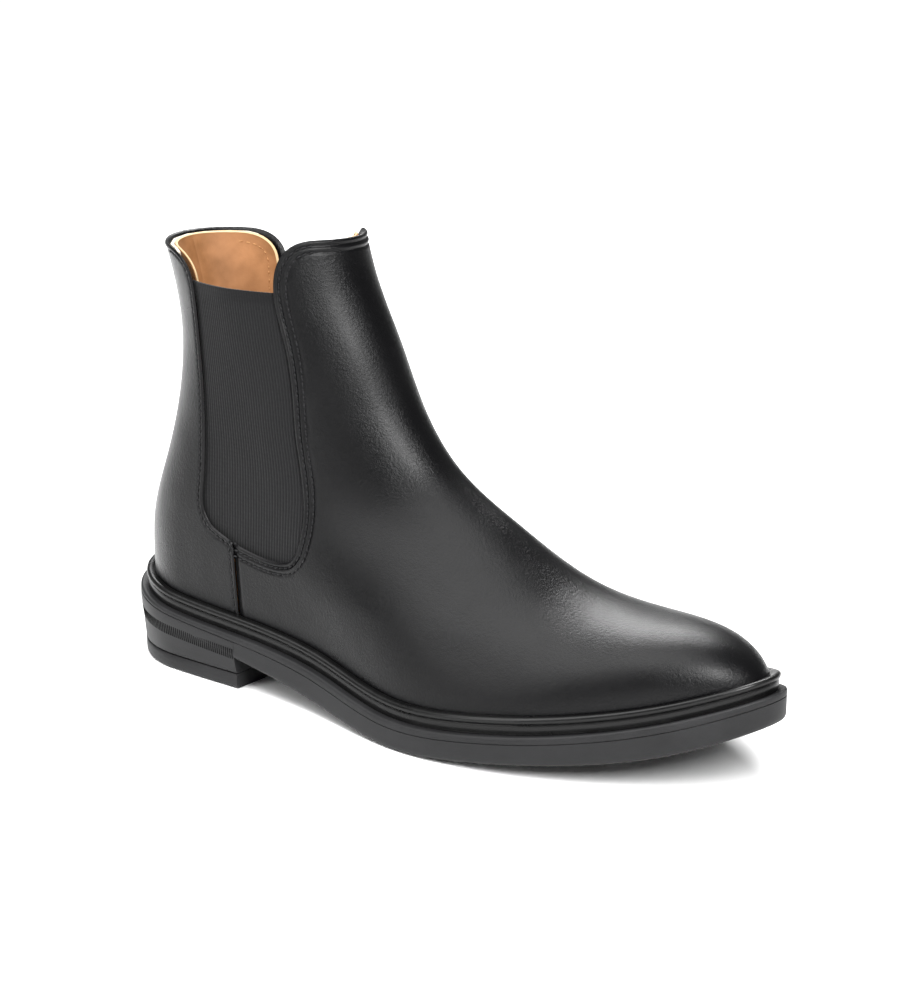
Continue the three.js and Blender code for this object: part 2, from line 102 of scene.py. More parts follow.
rimTop = curveThrough([
    (0, 31), (40, 25.5), (80, 22.6), (120, 18), (160, 11.8), (200, 13.8), (240, 19.6), (275, 28),
    (boot["length"], 38.5)])
rimFoot = curveThrough([
    (0, 22.5), (40, 18.2), (80, 12.4), (120, 5.6), (165, 0.1), (200, 2.6), (240, 7.6), (275, 15),
    (boot["length"], 26.5)])
toeLine = curveThrough([(0, 0), (150, 0), (boot["length"], 2)])
footHalf = {
    -1: curveThrough([(0, 33.5), (40, 38.5), (80, 40.6), (120, 44.7), (165, 54.5), (205, 54.1),
                      (245, 45.8), (boot["length"], 34)]),
    1: curveThrough([(0, 34), (40, 34.5), (80, 31), (120, 31), (165, 40), (205, 49), (245, 47),
                     (boot["length"], 32)]),
}
backLine = curveThrough([(0, 8), (35, 6.6), (60, 7.5), (85, 16), (115, 23), (150, 23), (195, 8.5)])
fan = (boot["length"] - 15, 215)  # the front line is held as distances from this point above the toe
frontLine = [(108, 184), (114, 166), (125, 144), (136, 121), (154, 98), (184.6, 78.8), (219, 60.6),
             (261, 59.6), (boot["length"] - 6, 57.4), (boot["length"] + 24.5, 45.4)]


def fanAngle(s, z):
    angle = np.arctan2(z - fan[1], s - fan[0])
    return np.where(angle > math.pi / 2, angle - 2 * math.pi, angle)


ridge = curveThrough([(float(fanAngle(s, z)), math.hypot(s - fan[0], z - fan[1])) for s, z in frontLine])
ridgeCap = curveThrough([(-176, 50), (-150, 58), (-130, 68), (-112, 48), (-95, 29), (-80, 22)])


def upperFloor(s, depth=0):
    return rimTop(s) + boot["layerGap"] + depth


def fullness(s, z, depth):  # 1 deep inside the side profile, 0 on its edge
    angle = fanAngle(s, z)
    fromRidge = np.hypot(s - fan[0], z - fan[1]) - ridge(angle) - depth
    degrees = np.degrees(angle)
    capLength = ridgeCap(degrees) - depth
    power = mix(1.9, 3, smoothStep(degrees, -128, -100))  # squarer over the toe
    heelLength = mix(boot["heelCap"] - boot["ledge"], 50, smoothStep(z, 70, 150)) - depth
    front = np.maximum(0, 1 - fromRidge / capLength)
    heel = np.maximum(0, 1 - (s - backLine(z) - depth) / heelLength)
    toeEnd = boot["length"] - boot["ledge"] - depth
    toe = np.maximum(0, 1 - (toeEnd - s) / (boot["toeCap"] - boot["ledge"] - depth))
    return 1 - front**power - heel**2.2 - toe**2.2


def upperHalf(s, z, side, depth):
    foot = footHalf[side](s) - boot["ledge"]
    shaft = boot["shaftHalf"][side] + boot["shaftFlare"][side] * clamp01((z - 120) / 80)
    body = mix(foot, shaft, smoothStep(z, 45, 100)) - depth
    return body * np.sqrt(clamp01(fullness(s, z, depth)))


def soleHalf(s, side, inset):
    toe = clamp01(1 - (boot["length"] - inset - s) / (boot["toeCap"] - inset))
    heel = clamp01(1 - (s - inset) / (boot["heelCap"] - inset))
    return (footHalf[side](s) - inset) * np.sqrt(clamp01(1 - toe**2.2 - heel**2.2))


stations = np.linspace(0, boot["length"], 400)
middle = soleHigh.x * 1000 - float(np.max(toeLine(stations) + soleHalf(stations, 1, 0)))


def place(x, s, z):  # side view and width in mm to the boot's frame in metres
    return np.stack([x + middle, boot["length"] / 2 - s, z + 0 * s], -1) / 1000


def onUpper(line, side, depth):
    s, z = line[..., 0], line[..., 1]
    return place(toeLine(s) + side * upperHalf(s, z, side, depth), s, z)


# Lines in the side view
def along(line, shares):  # points at these shares of a line's length
    steps = np.hypot(*np.diff(line, axis=0).T)
    run = np.concatenate([[0], np.cumsum(steps)])
    at = np.asarray(shares) * run[-1]
    return np.stack([np.interp(at, run, line[:, 0]), np.interp(at, run, line[:, 1])], -1)


def lineLength(line):
    return float(np.hypot(*np.diff(line, axis=0).T).sum())


def smoothLine(points, count=160):
    points = np.array(points, float)
    run = np.concatenate([[0], np.cumsum(np.hypot(*np.diff(points, axis=0).T))])
    t = np.linspace(0, run[-1], count)
    return np.stack([curveThrough(np.stack([run, points[:, k]], -1))(t) for k in (0, 1)], -1)


def joinLines(*lines):
    return np.concatenate([lines[0]] + [line[1:] for line in lines[1:]])


def offsetLine(line, distance):  # to the left of the line's direction
    step = np.gradient(line, axis=0)
    step /= np.hypot(step[:, 0], step[:, 1])[:, None]
    return line + distance * np.stack([-step[:, 1], step[:, 0]], -1)


def distanceTo(line, points):
    best = np.full(points.shape[:-1], 1e9)
    for a, b in zip(line[:-1], line[1:]):
        d = b - a
        t = clamp01(((points - a) @ d) / max(float(d @ d), 1e-9))
        best = np.minimum(best, np.hypot(*np.moveaxis(points - a - t[..., None] * d, -1, 0)))
    return best


def frontProfile(depth):  # where the two halves meet, from above the topline to the tip of the toe
    guide = np.array([(70, 192, 0), (75, 150, 5), (90, 115, 20), (120, 80, 42), (165, 50, 68),
                      (215, 38, 84), (250, 38, 90)], float)
    low, high = 255.0, boot["length"]
    for _ in range(50):
        tip = (low + high) / 2
        if fullness(tip, upperFloor(tip, depth), depth) > 0:
            low = tip
        else:
            high = tip
    last = math.degrees(math.atan2(upperFloor(tip, depth) - 38, tip - 250))
    guide = np.concatenate([guide, [(250, 38, last)]])
    t = np.linspace(0, len(guide) - 1, 900)
    s, z, turn = (np.interp(t, np.arange(len(guide)), guide[:, k]) for k in range(3))
    ds, dz = np.cos(np.radians(turn)), np.sin(np.radians(turn))
    near, far = np.zeros_like(t), np.full_like(t, 130)
    for _ in range(50):
        reach = (near + far) / 2
        inside = fullness(s + reach * ds, z + reach * dz, depth) > 0
        near, far = np.where(inside, reach, near), np.where(inside, far, reach)
    return np.stack([s + near * ds, z + near * dz], -1)


def coons(top, bottom, left, right, across, down):
    u, v = across[None, :, None], down[:, None, None]
    flat = mix(mix(top[0], top[-1], u), mix(bottom[0], bottom[-1], u), v)
    return mix(top[None], bottom[None], v) + mix(left[:, None], right[:, None], u) - flat


# Shares of a length, with fine steps near its ends
def fineEnds(length, startFine=0.0, endFine=0.0, fine=0.45, coarse=2.2):
    steps = [fine] * int(startFine / fine)
    rest = length - startFine - endFine
    count = max(2, int(round(rest / coarse)))
    steps += [rest / count] * count + [fine] * int(endFine / fine)
    return np.concatenate([[0], np.cumsum(steps)]) / sum(steps)


print("stage: shape rules ready")


def addNode(tree, kind, links=None, **settings):
    node = tree.nodes.new(kind)
    for name, value in settings.items():
        setattr(node, name, value)
    for socket, source in (links or {}).items():
        if isinstance(source, bpy.types.NodeSocket):
            tree.links.new(source, node.inputs[socket])
        else:
            node.inputs[socket].default_value = source
    return node


def linear(code):  # sRGB hex to linear RGBA
    parts = [int(code[i:i + 2], 16) / 255 for i in (1, 3, 5)]
    return [c / 12.92 if c <= 0.04045 else ((c + 0.055) / 1.055) ** 2.4 for c in parts] + [1]


def perMetre(millimetres):  # a texture's scale for a feature of this size
    return 1000 / millimetres


def newMaterial(name):
    material = bpy.data.materials.new(name)
    material.use_nodes = True
    tree = material.node_tree
    shader = tree.nodes["Principled BSDF"]
    where = addNode(tree, "ShaderNodeTexCoord").outputs["Object"]
    return material, tree, shader, where


def colourBetween(tree, factor, codeA, codeB):
    mixer = addNode(tree, "ShaderNodeMix", data_type="RGBA")
    mixer.inputs[6].default_value = linear(codeA)
    mixer.inputs[7].default_value = linear(codeB)
    tree.links.new(factor, mixer.inputs[0])
    return mixer.outputs[2]


def tint(tree, shader, factor, codeA, codeB):
    tree.links.new(colourBetween(tree, factor, codeA, codeB), shader.inputs["Base Color"])


def roughen(tree, shader, height, strength, depth):
    bump = addNode(tree, "ShaderNodeBump", {"Height": height, "Strength": strength, "Distance": depth})
    tree.links.new(bump.outputs[0], shader.inputs["Normal"])


def spread(tree, value, low, high, outLow, outHigh):
    return addNode(tree, "ShaderNodeMapRange", {
        "Value": value, "From Min": low, "From Max": high, "To Min": outLow, "To Max": outHigh}).outputs[0]


# the lighter colour is for the panel edges: partly rub wear, partly a painted highlight on the rolled-over
# fold
calf = {"base": "#040405", "edgeWearAndHighlight": "#161516", "grain": 1.1, "pore": 0.5, "roughness": (0.25, 0.37)}


def blackCalf():  # full-grain calf, aniline dyed and polished: a fine grain under a soft waxy shine
    material, tree, shader, where = newMaterial("blackPolishedCalf")
    cloud = addNode(tree, "ShaderNodeTexNoise", {"Vector": where, "Scale": perMetre(38), "Detail": 3.0})
    grain = addNode(tree, "ShaderNodeTexVoronoi", {"Vector": where, "Scale": perMetre(calf["grain"])},
                    feature="SMOOTH_F1")
    pores = addNode(tree, "ShaderNodeTexNoise", {
        "Vector": where, "Scale": perMetre(calf["pore"]), "Detail": 4.0, "Roughness": 0.6})
    edge = addNode(tree, "ShaderNodeAttribute", attribute_name="edgeDistance").outputs["Fac"]
    # Lighter, pore-speckled colour within 1.1 mm of the panel edges: rub wear plus a painted highlight
    # where the folded edge catches light
    edgeWearAndHighlight = spread(tree, edge, 0.0, 1.1, 0.55, 0.0)
    patchy = addNode(tree, "ShaderNodeMath", {0: edgeWearAndHighlight, 1: pores.outputs[0]}, operation="MULTIPLY")
    tint(tree, shader, patchy.outputs[0], calf["base"], calf["edgeWearAndHighlight"])
    polish = spread(tree, cloud.outputs[0], 0.3, 0.7, *calf["roughness"])
    tree.links.new(polish, shader.inputs["Roughness"])
    height = addNode(tree, "ShaderNodeMath", {0: grain.outputs["Distance"], 1: 0.55, 2: pores.outputs[0]},
                     operation="MULTIPLY_ADD")
    bump = addNode(tree, "ShaderNodeBump", {"Height": height.outputs[0], "Strength": 0.45,
                                            "Distance": 0.00035})
    soft = addNode(tree, "ShaderNodeTexNoise", {"Vector": where, "Scale": perMetre(16), "Detail": 1.0})
    waves = addNode(tree, "ShaderNodeBump", {
        "Height": soft.outputs[0], "Strength": 0.25, "Distance": 0.0012, "Normal": bump.outputs[0]})
    tree.links.new(waves.outputs[0], shader.inputs["Normal"])
    shader.inputs["Specular IOR Level"].default_value = 0.17
    shader.inputs["Coat Weight"].default_value = 0.06
    shader.inputs["Coat Roughness"].default_value = 0.28
    return material


tan = {"base": "#83572f", "light": "#a37147", "cut": "#c9ae84", "grain": 1.6}


def tanLining():  # vegetable-tanned lining leather, unfinished: matt tan with a pale raw edge
    material, tree, shader, where = newMaterial("tanLiningLeather")
    cloud = addNode(tree, "ShaderNodeTexNoise", {"Vector": where, "Scale": perMetre(14), "Detail": 5.0})
    grain = addNode(tree, "ShaderNodeTexNoise", {
        "Vector": where, "Scale": perMetre(tan["grain"]), "Detail": 5.0, "Roughness": 0.65})
    edge = addNode(tree, "ShaderNodeAttribute", attribute_name="edgeDistance").outputs["Fac"]
    body = colourBetween(tree, spread(tree, cloud.outputs[0], 0.35, 0.65, 0, 1), tan["base"], tan["light"])
    raw = addNode(tree, "ShaderNodeMix", data_type="RGBA")
    tree.links.new(spread(tree, edge, 0.15, 0.45, 1, 0), raw.inputs[0])
    tree.links.new(body, raw.inputs[6])
    raw.inputs[7].default_value = linear(tan["cut"])
    tree.links.new(raw.outputs[2], shader.inputs["Base Color"])
    roughen(tree, shader, grain.outputs[0], 0.35, 0.0003)
    shader.inputs["Roughness"].default_value = 0.72
    return material


# dark is the painted shade in the valleys between the ribs, light the rib crests
elasticLook = {"dark": "#070708", "light": "#141415", "weft": 0.9}


def ribbedElastic():  # covered rubber cords woven with polyester: a dull dark grey with a soft sheen
    material, tree, shader, where = newMaterial("wovenElastic")
    weft = addNode(tree, "ShaderNodeTexWave", {
        "Vector": where, "Scale": perMetre(elasticLook["weft"]) / 6.28, "Distortion": 1.2,
        "Detail": 2.0, "Detail Scale": 2.0},
                   bands_direction="Z")
    fuzz = addNode(tree, "ShaderNodeTexNoise", {"Vector": where, "Scale": perMetre(0.6), "Detail": 4.0})
    # Lighter on the rib crests and darker in the valleys between them: painted shade in the grooves; the
    # fine fuzz noise adds random tone
    rib = addNode(tree, "ShaderNodeAttribute", attribute_name="ribHeight").outputs["Fac"]
    ribShadeAndFuzz = addNode(tree, "ShaderNodeMath", {0: fuzz.outputs[0], 1: 0.6, 2: rib}, operation="MULTIPLY_ADD")
    ribShadeTone = spread(tree, ribShadeAndFuzz.outputs[0], 0.1, 1.4, 0, 1)
    tint(tree, shader, ribShadeTone, elasticLook["dark"], elasticLook["light"])
    height = addNode(tree, "ShaderNodeMath", {0: weft.outputs[0], 1: 0.5, 2: fuzz.outputs[0]},
                     operation="MULTIPLY_ADD")
    roughen(tree, shader, height.outputs[0], 0.4, 0.0002)
    shader.inputs["Roughness"].default_value = 0.85
    shader.inputs["Sheen Weight"].default_value = 0.08
    shader.inputs["Sheen Roughness"].default_value = 0.5
    shader.inputs["Specular IOR Level"].default_value = 0.15
    return material


def mouldedRubber():  # moulded TPR from an etched tool: a dull grey-black that dust and light find
    material, tree, shader, where = newMaterial("mouldedRubber")
    cloud = addNode(tree, "ShaderNodeTexNoise", {"Vector": where, "Scale": perMetre(25), "Detail": 4.0})
    etch = addNode(tree, "ShaderNodeTexNoise", {"Vector": where, "Scale": perMetre(0.5), "Detail": 5.0})
    tint(tree, shader, spread(tree, cloud.outputs[0], 0.3, 0.7, 0, 1), "#131314", "#1f1f20")
    tree.links.new(spread(tree, cloud.outputs[0], 0.3, 0.7, 0.5, 0.62), shader.inputs["Roughness"])
    roughen(tree, shader, etch.outputs[0], 0.3, 0.00015)
    shader.inputs["Specular IOR Level"].default_value = 0.25
    return material


def polishedWelt():  # PVC welting, extruded and burnished with edge ink: a hard wet-looking black
    material, tree, shader, where = newMaterial("inkedWelt")
    smear = addNode(tree, "ShaderNodeTexNoise", {"Vector": where, "Scale": perMetre(9), "Detail": 4.0})
    tint(tree, shader, smear.outputs[0], "#060606", "#101010")
    tree.links.new(spread(tree, smear.outputs[0], 0.3, 0.7, 0.26, 0.4), shader.inputs["Roughness"])
    roughen(tree, shader, smear.outputs[0], 0.2, 0.0004)
    shader.inputs["Specular IOR Level"].default_value = 0.2
    shader.inputs["Coat Weight"].default_value = 0.08
    shader.inputs["Coat Roughness"].default_value = 0.15
    return material


def slotShadowStrip():  # near-black matt strip laid on the heel between the ribs: painted shadow standing in for a narrow moulded slot
    material, tree, shader, where = newMaterial("slotShadowStrip")
    etch = addNode(tree, "ShaderNodeTexNoise", {"Vector": where, "Scale": perMetre(0.4), "Detail": 3.0})
    tint(tree, shader, etch.outputs[0], "#030303", "#070707")
    shader.inputs["Roughness"].default_value = 0.95
    shader.inputs["Specular IOR Level"].default_value = 0.1
    return material


def waxedThread(name, dark, light):  # twisted polyester thread, waxed: a round cord with painted highlights and shade banded along its twist
    material, tree, shader, where = newMaterial(name)
    # Light and dark bands along the twist: painted highlights on the plies and painted shade between them
    plyHighlights = addNode(tree, "ShaderNodeTexWave", {"Vector": where, "Scale": perMetre(0.5) / 6.28},
                    bands_direction="DIAGONAL")
    tint(tree, shader, plyHighlights.outputs[0], dark, light)
    roughen(tree, shader, plyHighlights.outputs[0], 0.3, 0.0001)
    shader.inputs["Roughness"].default_value = 0.45
    shader.inputs["Specular IOR Level"].default_value = 0.2
    return material


def pressedBoard():  # cellulose fibre board, rolled: flecked brown and dry
    material, tree, shader, where = newMaterial("fibreBoard")
    fleck = addNode(tree, "ShaderNodeTexNoise", {"Vector": where, "Scale": perMetre(1.2), "Detail": 6.0})
    tint(tree, shader, spread(tree, fleck.outputs[0], 0.35, 0.65, 0, 1), "#6f5c40", "#a08c68")
    roughen(tree, shader, fleck.outputs[0], 0.3, 0.0002)
    shader.inputs["Roughness"].default_value = 0.9
    return material


def woolFelt():  # needled felt and latex foam: pale, hairy and without shine
    material, tree, shader, where = newMaterial("needledFelt")
    hair = addNode(tree, "ShaderNodeTexNoise", {"Vector": where, "Scale": perMetre(0.9), "Detail": 6.0,
                                                "Distortion": 2.0})
    tint(tree, shader, hair.outputs[0], "#a89d88", "#dcd3c2")
    roughen(tree, shader, hair.outputs[0], 0.6, 0.0003)
    shader.inputs["Roughness"].default_value = 0.95
    shader.inputs["Sheen Weight"].default_value = 0.3
    return material


def corkFiller():  # granulated cork in latex, trowelled: speckled brown grains
    material, tree, shader, where = newMaterial("granulatedCork")
    grains = addNode(tree, "ShaderNodeTexVoronoi", {"Vector": where, "Scale": perMetre(2.5)})
    tint(tree, shader, grains.outputs["Color"], "#6a4a28", "#b48a56")
    roughen(tree, shader, grains.outputs["Distance"], 0.5, 0.0005)
    shader.inputs["Roughness"].default_value = 0.9
    return material


def rolledSteel():  # cold-rolled spring steel, tumbled: grey metal with fine scratches
    material, tree, shader, where = newMaterial("coldRolledSteel")
    scratch = addNode(tree, "ShaderNodeTexNoise", {"Vector": where, "Scale": perMetre(0.8), "Detail": 5.0})
    shader.inputs["Metallic"].default_value = 1
    tint(tree, shader, scratch.outputs[0], "#8f9194", "#b4b6b8")
    tree.links.new(spread(tree, scratch.outputs[0], 0.3, 0.7, 0.3, 0.5), shader.inputs["Roughness"])
    roughen(tree, shader, scratch.outputs[0], 0.1, 0.0001)
    return material


finish = {
    "calf": blackCalf(), "lining": tanLining(), "elastic": ribbedElastic(), "rubber": mouldedRubber(),
    # the slot finish is painted shadow for the gaps between the heel ribs
    "slot": slotShadowStrip(),
    "welt": polishedWelt(), "blackThread": waxedThread("blackThread", "#060606", "#1c1c1e"),
    "tanThread": waxedThread("tanThread", "#8a5a34", "#b98a5c"), "board": pressedBoard(),
    "felt": woolFelt(), "cork": corkFiller(), "steel": rolledSteel(),
}
print("stage: materials ready")


# A mesh from grids of side-view points, one copy of each for every half in halves
def shellMesh(name, grids, halves, depth, attribute, closed=True):
    verts, faces, values, start = [], [], [], 0
    for grid, value in grids:
        rows, columns = grid.shape[:2]
        for side in halves:
            points = onUpper(grid, side, depth)
            if closed:  # the first column lies where both halves meet
                s, z = grid[:, 0, 0], grid[:, 0, 1]
                points[:, 0] = place(toeLine(s), s, z)
            index = start + np.arange(rows * columns).reshape(rows, columns)
            quads = np.stack([index[:-1, :-1], index[:-1, 1:], index[1:, 1:], index[1:, :-1]], -1)
            a, b, d = points[rows // 2, columns // 2], points[rows // 2, columns // 2 + 1], \
                points[rows // 2 + 1, columns // 2]
            outward = np.cross(b - a, d - a)[0] * side > 0
            quads = quads if outward else quads[..., ::-1]
            verts.append(points.reshape(-1, 3))
            faces.append(quads.reshape(-1, 4))
            values.append(value.reshape(-1))
            start += rows * columns
    mesh = bpy.data.meshes.new(name)
    mesh.from_pydata(np.concatenate(verts).tolist(), [], np.concatenate(faces).tolist())
    layer = mesh.attributes.new(attribute, "FLOAT", "POINT")
    layer.data.foreach_set("value", np.concatenate(values).astype(np.float32))
    work = bmesh.new()
    work.from_mesh(mesh)
    bmesh.ops.remove_doubles(work, verts=work.verts, dist=2e-5)
    bmesh.ops.dissolve_degenerate(work, edges=work.edges, dist=1e-6)
    work.to_mesh(mesh)
    work.free()
    piece = bpy.data.objects.new(name, mesh)
    bpy.context.scene.collection.objects.link(piece)
    return piece


def pushOut(piece, attribute, rule):  # moves points along their normals by rule(value) mm
    mesh = piece.data
    count = len(mesh.vertices)
    values, points, normals = np.zeros(count), np.zeros(count * 3), np.zeros(count * 3)
    mesh.attributes[attribute].data.foreach_get("value", values)
    mesh.vertices.foreach_get("co", points)
    mesh.vertex_normals.foreach_get("vector", normals)
    shift = rule(values) / 1000
    mesh.vertices.foreach_set("co", points + (normals.reshape(-1, 3) * shift[:, None]).reshape(-1))
    mesh.update()


def settle(piece):  # replaces a piece's mesh by its mesh with all modifiers on
    graph = bpy.context.evaluated_depsgraph_get()
    made = bpy.data.meshes.new_from_object(piece.evaluated_get(graph), preserve_all_data_layers=True,
                                           depsgraph=graph)
    made.name = piece.name
    piece.modifiers.clear()
    piece.data = made
    made.polygons.foreach_set("use_smooth", [True] * len(made.polygons))
    made.set_sharp_from_angle(angle=math.radians(50))


def thicken(piece, thickness, rounding):
    wall = piece.modifiers.new("wall", "SOLIDIFY")
    wall.thickness = thickness / 1000
    wall.offset = -1
    edge = piece.modifiers.new("edge", "BEVEL")
    edge.limit_method = "ANGLE"
    edge.angle_limit = math.radians(55)
    edge.width = rounding / 1000
    edge.segments = 2
    settle(piece)


def hand(piece, slot, finishName, *nodes):
    piece.data.materials.clear()
    piece.data.materials.append(finish[finishName])
    if nodes:
        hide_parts(*nodes)
    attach(piece, "root")


# Outlines of the panels in the side view
pattern = {
    "frontCorner": [(100, 0.0), (96, 1.1), (92.3, 4.0), (89.6, 9.0), (88.6, 14.5)],  # s, below the top
    "frontEdge": [(88.9, 164), (95, 143), (98.5, 127), (101, 108), (105.3, 88), (106.3, 71), (104.6, 63)],
    "lowerEdge": [(104.6, 63), (101.3, 58.8), (95, 56.8), (86, 57), (77, 58.4), (70, 60)],
    "seamFoot": (75.5, 0),
    "backCorner": [(33, 0.0), (38, 0.7), (42.8, 2.5), (46.6, 5.6), (48.7, 9.4)],
    "rearEdge": [(49.8, 160), (51, 144), (54.5, 116), (55.4, 100), (54.2, 82), (54, 72), (58, 65.5),
                 (64, 62.4), (70, 60)],
    "instepPoint": 184,  # the line from the gore's foot meets the front line here
}


def panelEdges():
    top, back = boot["frontTop"], boot["backTop"]
    front = smoothLine([(s, top - z) for s, z in pattern["frontCorner"]] + pattern["frontEdge"])
    lower = smoothLine(pattern["lowerEdge"], 80)
    rear = smoothLine([(s, back - z) for s, z in pattern["backCorner"]] + pattern["rearEdge"])
    return front, lower, rear


def crossing(line, test):  # the first index where test stops holding
    return int(np.argmax(~test(line)))


def seamDown(depth):
    seam = along(np.array([(70.0, 60.0), pattern["seamFoot"]]), np.linspace(0, 1, 400))
    return seam[:crossing(seam, lambda p: p[:, 1] > upperFloor(p[:, 0], depth)) + 1]


def floorBetween(start, end, depth):
    s = np.linspace(start[0], end[0], 300)
    line = np.stack([s, upperFloor(s, depth)], -1)
    line[0], line[-1] = start, end
    return line


def lengthShares(line):
    run = np.concatenate([[0], np.cumsum(np.hypot(*np.diff(line, axis=0).T))])
    return run / run[-1]


# The front panel is two patches: the shaft down to the gore's foot, and the foot below that
def frontGrids(depth, inset, coarse):
    front, lower, _ = panelEdges()
    top = boot["frontTop"] - inset
    profile = frontProfile(depth)
    start = crossing(profile, lambda p: p[:, 1] > top)
    above, below = profile[start - 1], profile[start]
    first = mix(above, below, (above[1] - top) / (above[1] - below[1]))
    profile = np.concatenate([[first], profile[start:]])
    edge = joinLines(np.array([[first[0], boot["frontTop"]], [102, boot["frontTop"]]]), front, lower)
    edge = offsetLine(edge, inset)
    corner = int(np.argmin(np.hypot(*(edge - (92.3 + inset, top - 4)).T)))
    turn = int(np.argmin(np.hypot(*(edge - (104.6 + inset, 63)).T)))
    topLine, sideLine, underLine = edge[:corner + 1], edge[corner:turn + 1], edge[turn:]
    topLine[0] = first
    seam = seamDown(depth)
    seam[0] = underLine[-1]
    split = crossing(profile, lambda p: p[:, 0] < pattern["instepPoint"])
    high, low = profile[:split + 1], profile[split:]
    bridge = np.array([low[0], sideLine[-1]])
    across = np.linspace(0, 1, int(90 / coarse)) ** 1.7
    across = np.concatenate([across[across < 0.9], np.linspace(0.9, 1, 14)])
    down = fineEnds(lineLength(high), 8, 0, coarse=coarse)
    shaft = coons(along(topLine, across), along(bridge, across), along(high, down),
                  along(sideLine, down), across, down)
    topSide = joinLines(along(bridge, across), along(underLine, fineEnds(lineLength(underLine), 3, 6,
                                                                          coarse=1.4)))
    wide = lengthShares(topSide)
    floor = floorBetween(low[-1], seam[-1], depth)
    fall = fineEnds(lineLength(low), 7, 0, coarse=coarse)
    foot = coons(topSide, along(floor, wide), along(low, fall), along(seam, fall), wide, fall)
    return [shaft, foot], edge, seam


def rearGrids(depth, inset, coarse):
    _, _, rear = panelEdges()
    top = boot["backTop"] - inset
    heights = np.linspace(top, 20, 600)
    back = np.stack([backLine(heights) + depth, heights], -1)
    back = back[:crossing(back, lambda p: p[:, 1] > upperFloor(p[:, 0], depth)) + 1]
    edge = joinLines(np.array([[back[0, 0], boot["backTop"]], [30, boot["backTop"]]]), rear)
    edge = offsetLine(edge, -inset)
    corner = int(np.argmin(np.hypot(*(edge - (43.5 - inset, top - 3.6)).T)))
    topLine, sideLine = edge[:corner + 1], edge[corner:]
    topLine[0] = back[0]
    seam = seamDown(depth)
    seam[0] = sideLine[-1]
    across = np.linspace(0, 1, int(90 / coarse)) ** 1.6
    across = np.concatenate([across[across < 0.88], np.linspace(0.88, 1, 16)])
    right = joinLines(along(sideLine, fineEnds(lineLength(sideLine), 8, 5, coarse=coarse)),
                      along(seam, fineEnds(lineLength(seam), 3, 0, coarse=coarse)))
    down = lengthShares(right)
    floor = floorBetween(back[-1], seam[-1], depth)
    grid = coons(along(topLine, across), along(floor, across), along(back, down), right, across, down)
    return [grid], edge, seam


stitch = {"edgeRow": 2.2, "innerRow": 4.8, "seamRow": 2.0, "liningRow": 5.0}


def folded(distance, rows):  # a folded and stitched edge: rounded over, rolled between its stitch rows
    shift = -0.45 * clamp01(1 - distance / 0.7) ** 2
    previous = 0
    for row in rows:
        shift = shift + 0.28 * np.exp(-(((distance - (previous + row) / 2) / 0.75) ** 2))
        shift = shift - 0.42 * np.exp(-(((distance - row) / 0.5) ** 2))
        previous = row
    return shift


def panel(name, grids, edge, seam, halves, depth, rows, seamShift):
    withDistance = []
    for grid in grids:
        withDistance.append((grid, np.minimum(distanceTo(edge, grid), distanceTo(seam, grid))))
    piece = shellMesh(name, withDistance, halves, depth, "edgeDistance")
    attribute = piece.data.attributes["edgeDistance"]
    points = np.zeros(len(piece.data.vertices) * 3)
    piece.data.vertices.foreach_get("co", points)
    points = points.reshape(-1, 3) * 1000
    flat = np.stack([boot["length"] / 2 - points[:, 1], points[:, 2]], -1)
    shift = folded(distanceTo(edge, flat), rows) + seamShift(distanceTo(seam, flat))
    attribute.data.foreach_set("value", np.minimum(distanceTo(edge, flat), distanceTo(seam, flat))
                               .astype(np.float32))
    pushOut(piece, "edgeDistance", lambda value: shift)
    return piece


def underLap(distance):  # the front panel runs under the rear one at the side seam
    return -0.9 * (1 - smoothStep(distance, 0.4, 3.5))


def overLap(distance):  # the rear panel's turned edge stands proud there, behind a row of stitches
    lift = 0.45 * np.exp(-(((distance - 0.7) / 0.8) ** 2)) - 0.4 * clamp01(1 - distance / 0.35) ** 2
    return lift - 0.25 * np.exp(-(((distance - stitch["seamRow"]) / 0.42) ** 2))


coarseStep = 2.2
grids, vampEdge, vampSeam = frontGrids(0, 0, coarseStep)
vamp = panel("vamp_leather", grids, vampEdge, vampSeam, (-1, 1), 0, (stitch["edgeRow"], stitch["innerRow"]),
             underLap)
thicken(vamp, boot["leather"], 0.3)
hand(vamp, "upper_leather", "calf", "vamp")
print("stage: front panel", len(vamp.data.polygons))

grids, quarterEdge, quarterSeam = rearGrids(0, 0, coarseStep)
for sideName, side in sides.items():
    quarter = panel("quarter_leather_" + sideName, grids, quarterEdge, quarterSeam, (side,), 0,
                    (stitch["edgeRow"],), overLap)
    thicken(quarter, boot["leather"], 0.3)
    hand(quarter, "upper_leather", "calf", "quarter_" + sideName)
print("stage: rear panels")

lining = {"inset": 0.9, "coarse": 3.0}
grids, liningEdge, liningSeam = frontGrids(boot["liningDepth"], lining["inset"], lining["coarse"])
frontLining = panel("vamp_lining_leather", grids, liningEdge, liningSeam, (-1, 1), boot["liningDepth"], (),
                    lambda d: 0 * d)
thicken(frontLining, boot["lining"], 0.2)
hand(frontLining, "lining_leather", "lining", "vamp_lining")
grids, rearLiningEdge, rearLiningSeam = rearGrids(boot["liningDepth"], lining["inset"], lining["coarse"])
for sideName, side in sides.items():
    quarterLining = panel("quarter_lining_leather_" + sideName, grids, rearLiningEdge, rearLiningSeam,
                          (side,), boot["liningDepth"], (), lambda d: 0 * d)
    thicken(quarterLining, boot["lining"], 0.2)
    hand(quarterLining, "lining_leather", "lining", "quarter_lining_" + sideName)
print("stage: linings")


gore = {"hidden": 5, "ribPitch": 1.25, "ribHeight": 0.22, "perRib": 6, "foot": 53, "rows": 60}


